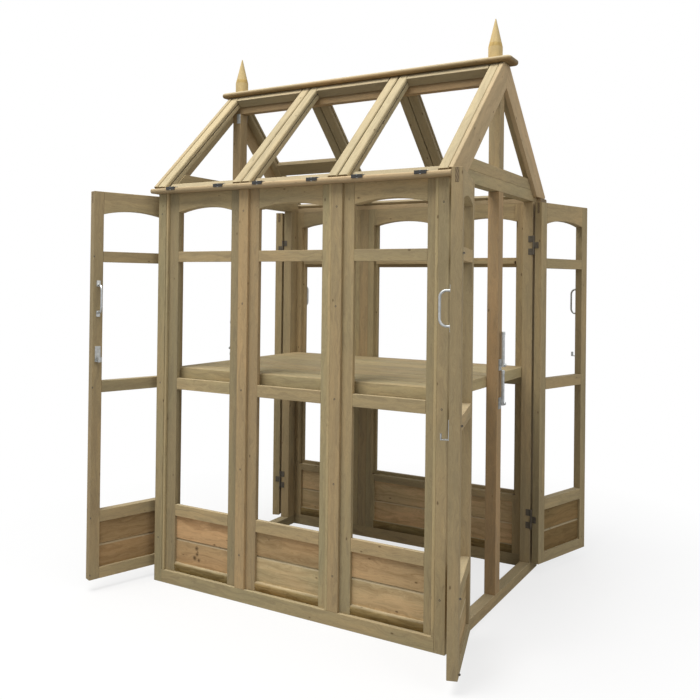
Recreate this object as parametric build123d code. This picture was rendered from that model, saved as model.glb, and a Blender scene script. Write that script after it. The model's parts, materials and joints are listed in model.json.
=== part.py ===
from build123d import *
import math
import os

# A small timber greenhouse that a person stands beside: three framed bays along each long
# wall, a pair of arched doors in each gable, a steep roof of six open frames, and a slatted
# shelf inside. +X runs along the ridge, the front wall faces -Y, and the ground is z = 0.

# Overall sizes over the corner posts
LENGTH = 1220.0
WIDTH = 860.0

# Heights in a wall frame, one on top of the other from the ground
BASE_H = 47.0
BOTTOM_RAIL_H = 33.0
BOARDED_H = 174.0
DADO_H = 42.0
LOWER_LIGHT_H = 431.0
LOWER_TRANSOM_H = 42.0
MIDDLE_LIGHT_H = 435.0
UPPER_TRANSOM_H = 39.0
ARCH_LIGHT_H = 147.0
HEAD_H = 72.0
ARCH_RISE = 17.0

# Timber sections of the walls
CORNER_W = 37.0
CORNER_D = 42.0
COVER_W = 42.0
COVER_D = 42.0
BASE_D = 42.0
STILE_W = 42.0
END_STILE_W = 56.0
FRAME_T = 32.0
FACE_STEP = 10.0
LIP_T = 14.0
REBATE_W = 13.0
BEAD_W = 12.0
BEAD_R = 5.0

# Matched boards under the dado rail
INFILL_T = 12.0
INFILL_JOINT = 4.0

# Gable ends
SILL_H = 38.0
JAMB_W = 47.0
CENTRE_W = 42.0
GABLE_D = 42.0
TIE_H = 42.0
PLATE_H = 41.0

# Doors: each head rail has a tongue that fills an open slot in the top of both stiles
DOOR_GAP = 5.0
DOOR_STILE_W = 36.0
DOOR_BOTTOM_RAIL_H = 40.0
DOOR_DROP = 5.0
DOOR_ARCH_DROP = 16.0
TONGUE_T = 11.0
TONGUE_H = 43.0
DOOR_OPEN_A = 162.5
DOOR_OPEN_B = 161.0

# Roof
PITCH = 46.0
ROOF_SEAT = 30.0
RIDGE_BEAM_T = 30.0
RIDGE_BEAM_H = 70.0
CAP_BELOW_APEX = 7.0
CAP_T = 20.0
CAP_W = 94.0
CAP_OVERHANG = 47.0
CAP_CORNER_R = 18.0
PANEL_GAP = 4.0
PANEL_STILE_W = 38.0
PANEL_BELOW = 20.0
BATTEN_H = 14.0
BATTEN_EASE = 4.0
BATTEN_OUT = 10.0
GROOVE_H = 5.0
GROOVE_D = 12.0
TOP_RAIL_REACH = 52.0
BOTTOM_RAIL_W = 30.0
EAVES_T = 18.0
EAVES_OUT = 28.0
EAVES_IN = 42.0
BARGE_T = 17.0
BARGE_W = 80.0
BARGE_RISE = 2.0
BARGE_EASE = 4.0

# Finials
FINIAL_R = 26.0
FINIAL_NECK = 44.0
FINIAL_H = 147.0
FINIAL_TIP_R = 1.5
FINIAL_IN = 28.0

# Shelf
SHELF_RISE = 36.0
SHELF_BOARD_T = 20.0
SHELF_BOARDS = 8
SHELF_GAP = 6.0
SHELF_CLEAR = 4.0
BEARER_H = 18.0
BEARER_W = 45.0
LEDGER_H = 30.0
LEDGER_T = 22.0

# Hinges
KNUCKLE_R = 4.5
HINGE_H = 75.0
HINGE_LEAF_T = 2.0
HINGE_LEAF_W = 18.0
HINGE_INSET = 168.0
KNUCKLE_GAP = 0.3
ROD_SIDES = 12

# Drop bars on the centre posts, and the hooks on the doors that take them
BAR_T = 10.0
BAR_W = 10.0
BAR_EASE = 2.0
BAR_LENGTH = 112.0
BAR_TAIL = 7.0
BAR_CLEAR = 5.0
BAR_KNOB_R = 7.0
BAR_KNOB_H = 12.0
LOWER_BAR_Z = 712.0
BAR_STEP = 24.0
BRACKET_T = 3.0
BRACKET_W = 24.0
BRACKET_H = 40.0
PIVOT_R = 2.5
PIVOT_CLEAR = 0.4
PIVOT_HEAD = 3.0
PIVOT_END = 4.0
CATCH_T = 3.0
CATCH_W = 20.0
CATCH_UP = 44.0
HOOK_W = 12.0

# Handles
HANDLE_ABOVE_BAR = 217.0
HANDLE_SPAN = 100.0
HANDLE_OUT = 32.0
HANDLE_R = 4.0
HANDLE_BEND = 20.0
HANDLE_FOOT_T = 2.5
HANDLE_FOOT_W = 14.0
HANDLE_FOOT_H = 22.0
HANDLE_INSET = 19.0
HANDLE_SIDES = 8

# Small fixings on the roof
CLIP_L = 42.0
CLIP_W = 18.0
CLIP_T = 2.5
CLIP_DROP = 9.0
CLIP_FROM_STILE = 28.0
ANGLE_T = 2.0
ANGLE_L = 40.0
ANGLE_W = 18.0

# How far a saw cut runs past the timber that it trims
OVERCUT = 1.0

# Places worked out from the sizes above
half_l = LENGTH / 2
half_w = WIDTH / 2
bottom_rail_top = BASE_H + BOTTOM_RAIL_H
dado_bottom = bottom_rail_top + BOARDED_H
dado_top = dado_bottom + DADO_H
lower_transom_bottom = dado_top + LOWER_LIGHT_H
lower_transom_top = lower_transom_bottom + LOWER_TRANSOM_H
upper_transom_bottom = lower_transom_top + MIDDLE_LIGHT_H
upper_transom_top = upper_transom_bottom + UPPER_TRANSOM_H
arch_spring = upper_transom_top + ARCH_LIGHT_H
wall_top = arch_spring + HEAD_H
eaves_top = wall_top + EAVES_T

bay_w = (LENGTH - 2 * CORNER_W - 2 * COVER_W) / 3
bay_lefts = [-half_l + CORNER_W + i * (bay_w + COVER_W) for i in range(3)]
frame_front = -half_w + FACE_STEP
frame_back = frame_front + FRAME_T

jamb_inner = half_w - CORNER_D - JAMB_W
door_w = jamb_inner - CENTRE_W / 2 - 2 * DOOR_GAP
door_bottom = SILL_H + DOOR_GAP
door_top = wall_top - DOOR_GAP
hinge_x = half_l + KNUCKLE_R
hinge_y = jamb_inner - DOOR_GAP / 2
hinge_levels = (door_bottom + HINGE_INSET, door_top - HINGE_INSET)

slope = math.radians(PITCH)
apex = eaves_top + (half_w - ROOF_SEAT) * math.tan(slope) + PANEL_BELOW / math.cos(slope)
cap_bottom = apex - CAP_BELOW_APEX
cap_top = cap_bottom + CAP_T
beam_bottom = cap_bottom - RIDGE_BEAM_H
panel_w = (LENGTH - 2 * PANEL_GAP) / 3
panel_foot = (half_w + BATTEN_OUT - BATTEN_H * math.sin(slope)) / math.cos(slope)

shelf_top = lower_transom_top + SHELF_RISE
shelf_end = half_l - GABLE_D - SHELF_CLEAR
shelf_front = frame_back + SHELF_CLEAR

# Distance out from the middle of the house at which the drop bars swing
bar_x = half_l + BRACKET_T + BAR_CLEAR + BAR_T / 2
upper_bar_z = LOWER_BAR_Z + BAR_LENGTH + BAR_STEP
handle_z = upper_bar_z + HANDLE_ABOVE_BAR


def block(x0, x1, y0, y1, z0, z1):
    """A squared timber given by its two far corners."""
    centre = Pos((x0 + x1) / 2, (y0 + y1) / 2, (z0 + z1) / 2)
    return centre * Box(abs(x1 - x0), abs(y1 - y0), abs(z1 - z0))


def rod(radius, length, sides=ROD_SIDES):
    """A round bar along Z, drawn with flats, about its own middle."""
    return extrude(RegularPolygon(radius, sides), length / 2, both=True)


def outline(points, plane, length):
    """A straight-edged outline drawn on a plane and pulled out of it."""
    return extrude(plane * make_face(Polyline(*points, close=True)), length)


def turned(pieces):
    """The same pieces on the opposite side, half a turn about the middle."""
    return [Rot(0, 0, 180) * piece for piece in pieces]


def save(name, pieces):
    """One node: pieces that don't touch each other."""
    export_step(Compound(label=name, children=list(pieces)), f"parts/{name}.step")


# Wall and door frames
# A frame is drawn flat, its left edge at x = 0 and its face at y = 0, facing -Y.
KINDS = ("stiles", "heads", "transoms", "low_rails", "infill")


def rebated(timber, x0, x1, z0, z1):
    """The same timber with the glass rebate cut behind its lip over one stretch."""
    return timber - block(x0, x1, LIP_T, FRAME_T, z0, z1)


def rail(x0, x1, z0, z1):
    return block(x0, x1, 0, FRAME_T, z0, z1)


def glazed_rail(x0, x1, z0, z1):
    """A transom, rebated behind along both edges."""
    lower = rebated(rail(x0, x1, z0, z1), x0, x1, z0, z0 + REBATE_W)
    return rebated(lower, x0, x1, z1 - REBATE_W, z1)


def arched_head(x0, x1, spring, top):
    """The head rail, its lower edge cut to a shallow arch."""
    middle = (x0 + x1) / 2
    arch = ThreePointArc((x0, spring), (middle, spring + ARCH_RISE), (x1, spring))
    sides = Polyline((x1, spring), (x1, top), (x0, top), (x0, spring))
    return extrude(make_face(Plane.XZ * (arch + sides)), -FRAME_T)


def matched_boards(x0, x1, z0, z1):
    """Two matched boards with a V joint between them on the face."""
    face = FRAME_T / 2 - INFILL_T / 2
    level = (z0 + z1) / 2
    half = INFILL_JOINT / 2
    board = block(x0, x1, face, face + INFILL_T, z0, z1)
    notch = [(face, level - half), (face + half, level), (face, level + half)]
    return board - outline(notch, Plane.YZ.offset(x0), x1 - x0)


def wall_frame(left_w):
    """Every timber of one bay, sorted by kind."""
    right = bay_w - STILE_W
    low = dado_top - REBATE_W
    left_stile = rail(0, left_w, BASE_H, wall_top)
    right_stile = rail(right, bay_w, BASE_H, wall_top)
    dado = rail(left_w, right, dado_bottom, dado_top)
    return {
        "stiles": [
            rebated(left_stile, left_w - REBATE_W, left_w, low, arch_spring),
            rebated(right_stile, right, right + REBATE_W, low, arch_spring),
        ],
        "heads": [arched_head(left_w, right, arch_spring, wall_top)],
        "transoms": [
            glazed_rail(left_w, right, upper_transom_bottom, upper_transom_top),
            glazed_rail(left_w, right, lower_transom_bottom, lower_transom_top),
        ],
        "low_rails": [
            rebated(dado, left_w, right, low, dado_top),
            rail(left_w, right, BASE_H, bottom_rail_top),
        ],
        "infill": [matched_boards(left_w, right, bottom_rail_top, dado_bottom)],
    }


def long_wall():
    """The three frames of the front wall, in place."""
    wall = {kind: [] for kind in KINDS}
    for left in bay_lefts:
        frame = wall_frame(END_STILE_W if left == bay_lefts[0] else STILE_W)
        for kind in KINDS:
            wall[kind] += [Pos(left, frame_front, 0) * piece for piece in frame[kind]]
    return wall


def cover_posts():
    """The posts that cover the joints between the bays."""
    return [block(x - COVER_W, x, -half_w, -half_w + COVER_D, BASE_H, wall_top) for x in bay_lefts[1:]]


def edge_beads():
    """Rounded strips that stand in front of the frames beside three of the posts."""
    beads = []
    for x in (bay_lefts[0], bay_lefts[2] - COVER_W - BEAD_W, bay_lefts[2] + bay_w - BEAD_W):
        bead = block(x, x + BEAD_W, -half_w, frame_front, BASE_H, wall_top)
        corner = bead.edges().filter_by(Axis.Z).group_by(Axis.Y)[0].sort_by(Axis.X)[0]
        beads.append(fillet(corner, BEAD_R))
    return beads


def base_board():
    """The board along the ground, between the corner posts."""
    return block(-half_l + CORNER_W, half_l - CORNER_W, -half_w, -half_w + BASE_D, 0, BASE_H)


def corner_posts():
    posts = []
    for x in (-half_l, half_l - CORNER_W):
        for y in (-half_w, half_w - CORNER_D):
            posts.append(block(x, x + CORNER_W, y, y + CORNER_D, 0, wall_top))
    return posts


# Gable ends, drawn for the right-hand end
def gable_sill():
    return block(half_l - GABLE_D, half_l, -half_w + CORNER_D, half_w - CORNER_D, 0, SILL_H)


def gable_jambs():
    """The uprights beside the corner posts that the doors hang on."""
    outer = half_w - CORNER_D
    return [
        block(half_l - GABLE_D, half_l, -outer, -jamb_inner, SILL_H, wall_top),
        block(half_l - GABLE_D, half_l, jamb_inner, outer, SILL_H, wall_top),
    ]


def gable_centre_post():
    return block(half_l - GABLE_D, half_l, -CENTRE_W / 2, CENTRE_W / 2, SILL_H, wall_top)


def under_roof(z):
    """Distance from the ridge line to the underside of the roof frames at one height."""
    return (apex - PANEL_BELOW / math.cos(slope) - z) / math.tan(slope)


def gable_beam(z0, z1):
    """A beam across the gable, its ends cut to lie under the roof frames."""
    low = under_roof(z0)
    high = under_roof(z1)
    points = [(-low, z0), (low, z0), (high, z1), (-high, z1)]
    beam = outline(points, Plane.YZ.offset(half_l - GABLE_D), GABLE_D)
    within = block(half_l - GABLE_D, half_l, -half_w, half_w, z0, z1)
    return beam & within


def notched_tie_beam():
    """The tie beam, its ends notched over the eaves boards."""
    beam = gable_beam(wall_top, wall_top + TIE_H)
    for board in [eaves_board()] + turned([eaves_board()]):
        beam -= board
    return beam


def king_post():
    """The short post from the gable plate to the ridge beam."""
    half = CENTRE_W / 2
    return block(half_l - GABLE_D, half_l, -half, half, wall_top + TIE_H + PLATE_H, beam_bottom)


# Roof, drawn for the front slope
# On the slope plane, local x runs along the ridge, local y up the slope, and z out of it.
slope_plane = Plane(origin=(0, 0, apex), x_dir=(1, 0, 0), z_dir=(0, -math.sin(slope), math.cos(slope)))


def slope_block(x0, x1, s0, s1, n0, n1):
    """A timber that lies on the slope: s is the distance down from the apex, n the height off it."""
    return slope_plane * block(x0, x1, -s1, -s0, n0, n1)


def trimmed(timber, x0, x1):
    """A roof timber cut plumb at the ridge beam, level under the cap and level on the eaves board."""
    left = x0 - OVERCUT
    right = x1 + OVERCUT
    past_beam = block(left, right, -RIDGE_BEAM_T / 2, WIDTH, 0, 2 * apex)
    over_cap = block(left, right, -WIDTH, WIDTH, cap_bottom, 2 * apex)
    under_eaves = block(left, right, -WIDTH, WIDTH, 0, eaves_top)
    return timber - past_beam - over_cap - under_eaves


def stile_section(opening):
    """Section of a roof stile: a batten with eased shoulders over a glass groove and a lip."""
    w = PANEL_STILE_W
    points = [
        (0, -PANEL_BELOW),
        (w, -PANEL_BELOW),
        (w, -GROOVE_H),
        (w - GROOVE_D, -GROOVE_H),
        (w - GROOVE_D, 0),
        (w, 0),
        (w, BATTEN_H - BATTEN_EASE),
        (w - BATTEN_EASE, BATTEN_H),
        (BATTEN_EASE, BATTEN_H),
        (0, BATTEN_H - BATTEN_EASE),
    ]
    if opening < 0:
        points = [(w - x, z) for x, z in points]
    return points


def roof_stile(x0, opening):
    """A stile laid down the slope, its foot sawn square over the eaves board."""
    end_plane = Plane(
        origin=(x0, -panel_foot * math.cos(slope), apex - panel_foot * math.sin(slope)),
        x_dir=(1, 0, 0),
        z_dir=(0, -math.cos(slope), -math.sin(slope)),
    )
    section = make_face(Polyline(*stile_section(opening), close=True))
    return trimmed(extrude(end_plane * section, -panel_foot), x0, x0 + PANEL_STILE_W)


def roof_slope():
    """The three frames of the front slope."""
    stiles = []
    rails = []
    toe = (apex - GROOVE_H * math.cos(slope) - eaves_top) / math.sin(slope)
    for i in range(3):
        left = -half_l + i * (panel_w + PANEL_GAP)
        right = left + panel_w
        inner_l = left + PANEL_STILE_W
        inner_r = right - PANEL_STILE_W
        stiles.append(roof_stile(left, 1))
        stiles.append(roof_stile(inner_r, -1))
        high = slope_block(inner_l, inner_r, 0, TOP_RAIL_REACH, -PANEL_BELOW, BATTEN_H)
        low = slope_block(inner_l, inner_r, toe - BOTTOM_RAIL_W, panel_foot, -PANEL_BELOW, -GROOVE_H)
        rails.append(trimmed(high, inner_l, inner_r))
        rails.append(trimmed(low, inner_l, inner_r))
    return stiles, rails


def eaves_board():
    """The board on top of the long wall, its outer edge rounded over."""
    end = half_l + BARGE_T
    board = block(-end, end, -half_w - EAVES_OUT, -half_w + EAVES_IN, wall_top, eaves_top)
    nose = board.edges().filter_by(Axis.X).group_by(Axis.Y)[0]
    return fillet(nose, EAVES_T / 2 - 1)


def barge_board():
    """The board over the end of the front slope at the right gable, from eaves to apex."""
    n1 = BATTEN_H + BARGE_RISE
    board = slope_block(half_l, half_l + BARGE_T, -BARGE_W, panel_foot, n1 - BARGE_W, n1)
    down_slope = Axis(origin=(0, 0, 0), direction=(0, math.cos(slope), math.sin(slope)))
    board = fillet(board.edges().filter_by(down_slope).group_by(Axis.Z)[-1], BARGE_EASE)
    left = half_l - OVERCUT
    right = half_l + BARGE_T + OVERCUT
    past = block(left, right, 0, WIDTH, 0, 2 * apex)
    over_cap = block(left, right, -WIDTH, WIDTH, cap_bottom, 2 * apex)
    low = block(left, right, -WIDTH, WIDTH, 0, eaves_top)
    return board - past - over_cap - low


def ridge_beam():
    half = RIDGE_BEAM_T / 2
    return block(-half_l, half_l, -half, half, beam_bottom, cap_bottom)


def ridge_cap():
    """The capping over the ridge, rounded along its edges and round its ends."""
    out = half_l + CAP_OVERHANG
    cap = block(-out, out, -CAP_W / 2, CAP_W / 2, cap_bottom, cap_top)
    cap = fillet(cap.edges().filter_by(Axis.Z), CAP_CORNER_R)
    rims = cap.faces().sort_by(Axis.Z)[-1].edges() + cap.faces().sort_by(Axis.Z)[0].edges()
    return fillet(rims, CAP_T / 2 - 1)


def finial(x):
    """A turned finial: a round neck under a plain cone, standing on the ridge cap."""
    cone_h = FINIAL_H - FINIAL_NECK
    neck = Pos(x, 0, cap_top + FINIAL_NECK / 2) * Cylinder(FINIAL_R, FINIAL_NECK)
    cone = Pos(x, 0, cap_top + FINIAL_NECK + cone_h / 2) * Cone(FINIAL_R, FINIAL_TIP_R, cone_h)
    return neck + cone


# Shelf
def shelf_boards():
    """Slats along the length of the house, with a gap between each two."""
    board_w = (-2 * shelf_front - (SHELF_BOARDS - 1) * SHELF_GAP) / SHELF_BOARDS
    boards = []
    for i in range(SHELF_BOARDS):
        low = shelf_front + i * (board_w + SHELF_GAP)
        boards.append(block(-shelf_end, shelf_end, low, low + board_w, shelf_top - SHELF_BOARD_T, shelf_top))
    return boards


def shelf_bearers():
    """Bearers under the slats, one at each end and one in the middle."""
    z1 = shelf_top - SHELF_BOARD_T
    lefts = (-shelf_end, -BEARER_W / 2, shelf_end - BEARER_W)
    return [block(x, x + BEARER_W, shelf_front, -shelf_front, z1 - BEARER_H, z1) for x in lefts]


def shelf_ledger():
    """A ledger fixed to the inner face of the front wall, which carries the bearers."""
    z1 = shelf_top - SHELF_BOARD_T - BEARER_H
    return block(-shelf_end, shelf_end, frame_back, frame_back + LEDGER_T, z1 - LEDGER_H, z1)


# Doors
# A door is drawn closed in the right gable, on its front side. It is then turned about
# its hinge line. Doors on the back side are the mirror image, and those of the left
# gable are the right gable's turned half round.
def door_frame():
    """Every timber of a door, drawn flat. Its hinge edge is at x = 0."""
    right = door_w - DOOR_STILE_W
    slot_low = door_top - TONGUE_H
    slot_front = (FRAME_T - TONGUE_T) / 2
    slot_back = slot_front + TONGUE_T
    tongues = [
        block(0, DOOR_STILE_W, slot_front, slot_back, slot_low, door_top),
        block(right, door_w, slot_front, slot_back, slot_low, door_top),
    ]
    head = arched_head(DOOR_STILE_W, right, arch_spring - DOOR_ARCH_DROP, door_top)
    low = door_bottom + DOOR_BOTTOM_RAIL_H
    levels = (
        (upper_transom_bottom, upper_transom_top),
        (lower_transom_bottom, lower_transom_top),
        (dado_bottom, dado_top),
    )
    rails = [rail(DOOR_STILE_W, right, z0 - DOOR_DROP, z1 - DOOR_DROP) for z0, z1 in levels]
    return {
        "stiles": [
            rail(0, DOOR_STILE_W, door_bottom, door_top) - tongues[0],
            rail(right, door_w, door_bottom, door_top) - tongues[1],
        ],
        "rails": [head + tongues[0] + tongues[1]] + rails + [rail(DOOR_STILE_W, right, door_bottom, low)],
        "infill": [matched_boards(DOOR_STILE_W, right, low, dado_bottom - DOOR_DROP)],
    }


def hinge_barrel(level, low, high):
    """A length of hinge knuckle on the hinge line."""
    return Pos(hinge_x, -hinge_y, level + (low + high) / 2) * rod(KNUCKLE_R, high - low)


def door_hinge_halves():
    """The moving half of each hinge: a flap on the door's edge and the middle knuckle."""
    halves = []
    edge = -jamb_inner + DOOR_GAP
    reach = HINGE_H / 6 - KNUCKLE_GAP
    for z in hinge_levels:
        flap = block(half_l - HINGE_LEAF_W, hinge_x, edge - HINGE_LEAF_T, edge, z - reach, z + reach)
        halves.append(flap + hinge_barrel(z, -reach, reach))
    return halves


def frame_hinge_halves():
    """The fixed half of each hinge: a flap on the jamb and the outer knuckles."""
    halves = []
    edge = -jamb_inner
    for z in hinge_levels:
        for low, high in ((-HINGE_H / 2, -HINGE_H / 6), (HINGE_H / 6, HINGE_H / 2)):
            flap = block(half_l - HINGE_LEAF_W, hinge_x, edge, edge + HINGE_LEAF_T, z + low, z + high)
            halves.append(flap + hinge_barrel(z, low, high))
    return halves


def fittings_y():
    """Where the handle and the hook stand on a closed front door of the right gable."""
    return -jamb_inner + DOOR_GAP + door_w - HANDLE_INSET


def door_handle():
    """A D handle of round rod on two small feet."""
    y = fittings_y()
    start = half_l + HANDLE_FOOT_T / 2
    out = half_l + HANDLE_OUT
    low = handle_z - HANDLE_SPAN / 2
    high = handle_z + HANDLE_SPAN / 2
    bend = HANDLE_BEND
    path = FilletPolyline((start, y, low), (out, y, low), (out, y, high), (start, y, high), radius=bend)
    section = Plane(origin=(start, y, low), z_dir=(1, 0, 0)) * RegularPolygon(HANDLE_R, HANDLE_SIDES)
    bow = sweep(section, path=path)
    half = HANDLE_FOOT_W / 2
    inner = HANDLE_R + 2
    face = half_l + HANDLE_FOOT_T
    foot_low = block(half_l, face, y - half, y + half, low + inner - HANDLE_FOOT_H, low + inner)
    foot_high = block(half_l, face, y - half, y + half, high - inner, high - inner + HANDLE_FOOT_H)
    return bow + foot_low + foot_high


def door_catch(level):
    """A plate with an upturned hook that takes the drop bar at the given height."""
    y = fittings_y()
    floor = level - BAR_W / 2 - BAR_CLEAR
    outer = bar_x + BAR_T / 2 + BAR_CLEAR
    half = CATCH_W / 2
    hook = HOOK_W / 2
    plate = block(half_l, half_l + CATCH_T, y - half, y + half, floor - CATCH_T, level + CATCH_UP)
    seat = block(half_l, outer + CATCH_T, y - hook, y + hook, floor - CATCH_T, floor)
    lip = block(outer, outer + CATCH_T, y - hook, y + hook, floor, level + BAR_W / 2)
    return plate + seat + lip


def door_pieces(catch_level):
    pieces = door_frame()
    place = Pos(half_l, -jamb_inner + DOOR_GAP, 0) * Rot(0, 0, 90)
    pieces = {kind: [place * piece for piece in items] for kind, items in pieces.items()}
    pieces["hardware"] = [door_handle(), door_catch(catch_level)] + door_hinge_halves()
    return pieces


def opened(pieces, angle):
    """Swing the front right door out about its hinge line."""
    line = Axis(origin=(hinge_x, -hinge_y, 0), direction=(0, 0, 1))
    return {kind: [piece.rotate(line, -angle) for piece in items] for kind, items in pieces.items()}


def mirrored(pieces):
    return {kind: [mirror(piece, about=Plane.XZ) for piece in items] for kind, items in pieces.items()}


# Drop bars on the centre post of the right gable
def latch_bracket(level):
    """A plate on the post with the headed pin that a bar turns on."""
    half = BRACKET_W / 2
    outer = bar_x + BAR_T / 2 + PIVOT_END
    plate = block(half_l, half_l + BRACKET_T, -half, half, level - BRACKET_H / 2, level + BRACKET_H / 2)
    pin = Pos((half_l + outer) / 2, 0, level) * Rot(0, 90, 0) * rod(PIVOT_R, outer - half_l)
    head = Pos(outer, 0, level) * Rot(0, 90, 0) * rod(PIVOT_R + PIVOT_HEAD, PIVOT_HEAD)
    return plate + pin + head


def drop_bar(level):
    """A bar that turns on its pivot, with a knob at its free end; drawn standing up."""
    z1 = level + BAR_LENGTH
    bar = block(bar_x - BAR_T / 2, bar_x + BAR_T / 2, -BAR_W / 2, BAR_W / 2, level - BAR_TAIL, z1)
    bar = chamfer(bar.edges().filter_by(Axis.Z), BAR_EASE)
    knob = Pos(bar_x, 0, z1) * rod(BAR_KNOB_R, BAR_KNOB_H)
    knob = chamfer(knob.faces().sort_by(Axis.Z)[-1].edges(), BAR_EASE)
    hole = Pos(bar_x, 0, level) * Rot(0, 90, 0) * rod(PIVOT_R + PIVOT_CLEAR, BAR_T + 2 * OVERCUT)
    return bar + knob - hole


# Small fixings on the roof
def glazing_clips():
    """Small angles over the nose of the front eaves board, two to each roof frame."""
    clips = []
    nose = -half_w - EAVES_OUT
    lip_bottom = eaves_top - CLIP_DROP
    for i in range(3):
        inner_l = -half_l + i * (panel_w + PANEL_GAP) + PANEL_STILE_W
        inner_r = inner_l + panel_w - 2 * PANEL_STILE_W
        for x in (inner_l + CLIP_FROM_STILE, inner_r - CLIP_FROM_STILE - CLIP_L):
            flat = block(x, x + CLIP_L, nose, nose + CLIP_W, eaves_top, eaves_top + CLIP_T)
            lip = block(x, x + CLIP_L, nose - CLIP_T, nose, lip_bottom, eaves_top + CLIP_T)
            clips.append(flat + lip)
    return clips


def apex_angles():
    """Steel angles that tie the king post to the underside of the ridge beam."""
    angles = []
    x0 = half_l - GABLE_D + ANGLE_T
    x1 = x0 + ANGLE_W
    for side in (-1, 1):
        y = side * CENTRE_W / 2
        angles.append(block(x0, x1, y, y + side * ANGLE_T, beam_bottom - ANGLE_L, beam_bottom))
    return angles


os.makedirs("parts", exist_ok=True)

# The long walls
save("corner_posts", corner_posts())
save("wall_cover_posts", cover_posts() + turned(cover_posts()))
save("wall_base_boards", [base_board()] + turned([base_board()]))
save("wall_edge_beads", edge_beads() + turned(edge_beads()))
front = long_wall()
for kind in KINDS:
    save(f"front_wall_{kind}", front[kind])
    save(f"back_wall_{kind}", turned(front[kind]))

# The gable ends
right_gable = {
    "gable_sills": [gable_sill()],
    "gable_jambs": gable_jambs(),
    "gable_centre_posts": [gable_centre_post()],
    "gable_tie_beams": [notched_tie_beam()],
    "gable_plates": [gable_beam(wall_top + TIE_H, wall_top + TIE_H + PLATE_H)],
    "gable_king_posts": [king_post()],
    "gable_apex_angles": apex_angles(),
    "latch_brackets": [latch_bracket(upper_bar_z), latch_bracket(LOWER_BAR_Z)],
}
for name, pieces in right_gable.items():
    save(name, pieces + turned(pieces))

# The roof
stiles, rails = roof_slope()
save("front_roof_stiles", stiles)
save("back_roof_stiles", turned(stiles))
save("front_roof_rails", rails)
save("back_roof_rails", turned(rails))
save("eaves_boards", [eaves_board()] + turned([eaves_board()]))
front_barge = [barge_board(), mirror(barge_board(), about=Plane.YZ)]
save("front_barge_boards", front_barge)
save("back_barge_boards", turned(front_barge))
save("ridge_beam", [ridge_beam()])
save("ridge_cap", [ridge_cap()])
save("ridge_finials", [finial(half_l - FINIAL_IN), finial(-half_l + FINIAL_IN)])
save("glazing_clips", glazing_clips() + turned(glazing_clips()))

# The shelf
save("shelf_boards", shelf_boards())
save("shelf_bearers", shelf_bearers())
save("shelf_ledgers", [shelf_ledger()] + turned([shelf_ledger()]))

# The doors, standing open as they rest
front_right = opened(door_pieces(LOWER_BAR_Z), DOOR_OPEN_A)
back_right = mirrored(opened(door_pieces(upper_bar_z), DOOR_OPEN_B))
doors = {
    "right_front": front_right,
    "right_back": back_right,
    "left_back": {kind: turned(items) for kind, items in front_right.items()},
    "left_front": {kind: turned(items) for kind, items in back_right.items()},
}
for place, pieces in doors.items():
    for kind, items in pieces.items():
        save(f"{place}_door_{kind}", items)

# The fixed halves of the hinges
frame_halves = frame_hinge_halves() + [mirror(piece, about=Plane.XZ) for piece in frame_hinge_halves()]
save("frame_hinges", frame_halves + turned(frame_halves))

# The drop bars
save("right_upper_drop_bar", [drop_bar(upper_bar_z)])
save("right_lower_drop_bar", [drop_bar(LOWER_BAR_Z)])
save("left_upper_drop_bar", turned([drop_bar(upper_bar_z)]))
save("left_lower_drop_bar", turned([drop_bar(LOWER_BAR_Z)]))
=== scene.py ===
# %% [markdown]
# # A small timber greenhouse, dressed for its picture
# The frame of this house already exists as a solid model: posts, rails, roof frames, doors
# that swing and drop bars that fall. This lesson puts on what the solid model leaves out,
# the eased edges and grain of planed softwood, the zinc of the fittings, the screws and the
# soft light. Everything is in metres, +X along the ridge, the long wall in front facing -Y.

# %% Load the frame
import bmesh
import bpy
import json
import math
import random
from mathutils import Matrix, Vector


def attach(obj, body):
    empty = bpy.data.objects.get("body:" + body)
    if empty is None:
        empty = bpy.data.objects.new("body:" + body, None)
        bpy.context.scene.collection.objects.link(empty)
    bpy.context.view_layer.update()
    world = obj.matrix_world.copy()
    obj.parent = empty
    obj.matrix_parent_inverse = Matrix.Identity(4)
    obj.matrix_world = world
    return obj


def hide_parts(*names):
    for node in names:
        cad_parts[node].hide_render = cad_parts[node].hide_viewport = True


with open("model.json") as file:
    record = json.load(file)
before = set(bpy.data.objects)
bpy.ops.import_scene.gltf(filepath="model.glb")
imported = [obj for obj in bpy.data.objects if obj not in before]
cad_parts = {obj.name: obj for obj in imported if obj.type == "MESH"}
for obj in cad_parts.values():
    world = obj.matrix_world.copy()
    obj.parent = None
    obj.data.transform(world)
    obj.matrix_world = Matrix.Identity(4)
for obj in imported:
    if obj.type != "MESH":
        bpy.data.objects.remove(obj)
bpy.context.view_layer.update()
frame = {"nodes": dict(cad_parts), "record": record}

members_of = frame["record"]["behaviour"]["bodies"]
body_of = {node: body for body, members in members_of.items() for node in members}
slot_of = {part["node"]: part["material_slot"] for part in frame["record"]["subparts"]}
DOORS = ("right_front", "right_back", "left_back", "left_front")

# %% [markdown]
# ## The camera
# The picture was taken from the right-hand front corner, at about chest height and close by.
# The place and the angles below came from fitting a pinhole camera to the edges of the frame.
# The middle of the picture lies lower and further left than the point the lens was aimed at,
# so the lens is shifted by about a tenth of the picture. Blender builds a camera from a matrix
# whose columns are its right, its up and its backward direction.

# %% Camera
PICTURE = 700.0
SENSOR = 36.0
eye = Vector((1.6139, -2.5475, 1.1328))
turn, tilt, lean = 0.4854, 0.0072, 0.0111
focal_px = 766.4
shift_px = (65.83, 71.94)

camera_data = bpy.data.cameras.new("camera")
camera_data.sensor_fit = "HORIZONTAL"
camera_data.sensor_width = SENSOR
camera_data.lens = SENSOR * focal_px / PICTURE
camera_data.shift_x = -shift_px[0] / PICTURE
camera_data.shift_y = -shift_px[1] / PICTURE
camera_data.clip_start = 0.05
camera = bpy.data.objects.new("camera", camera_data)
bpy.context.scene.collection.objects.link(camera)

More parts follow.
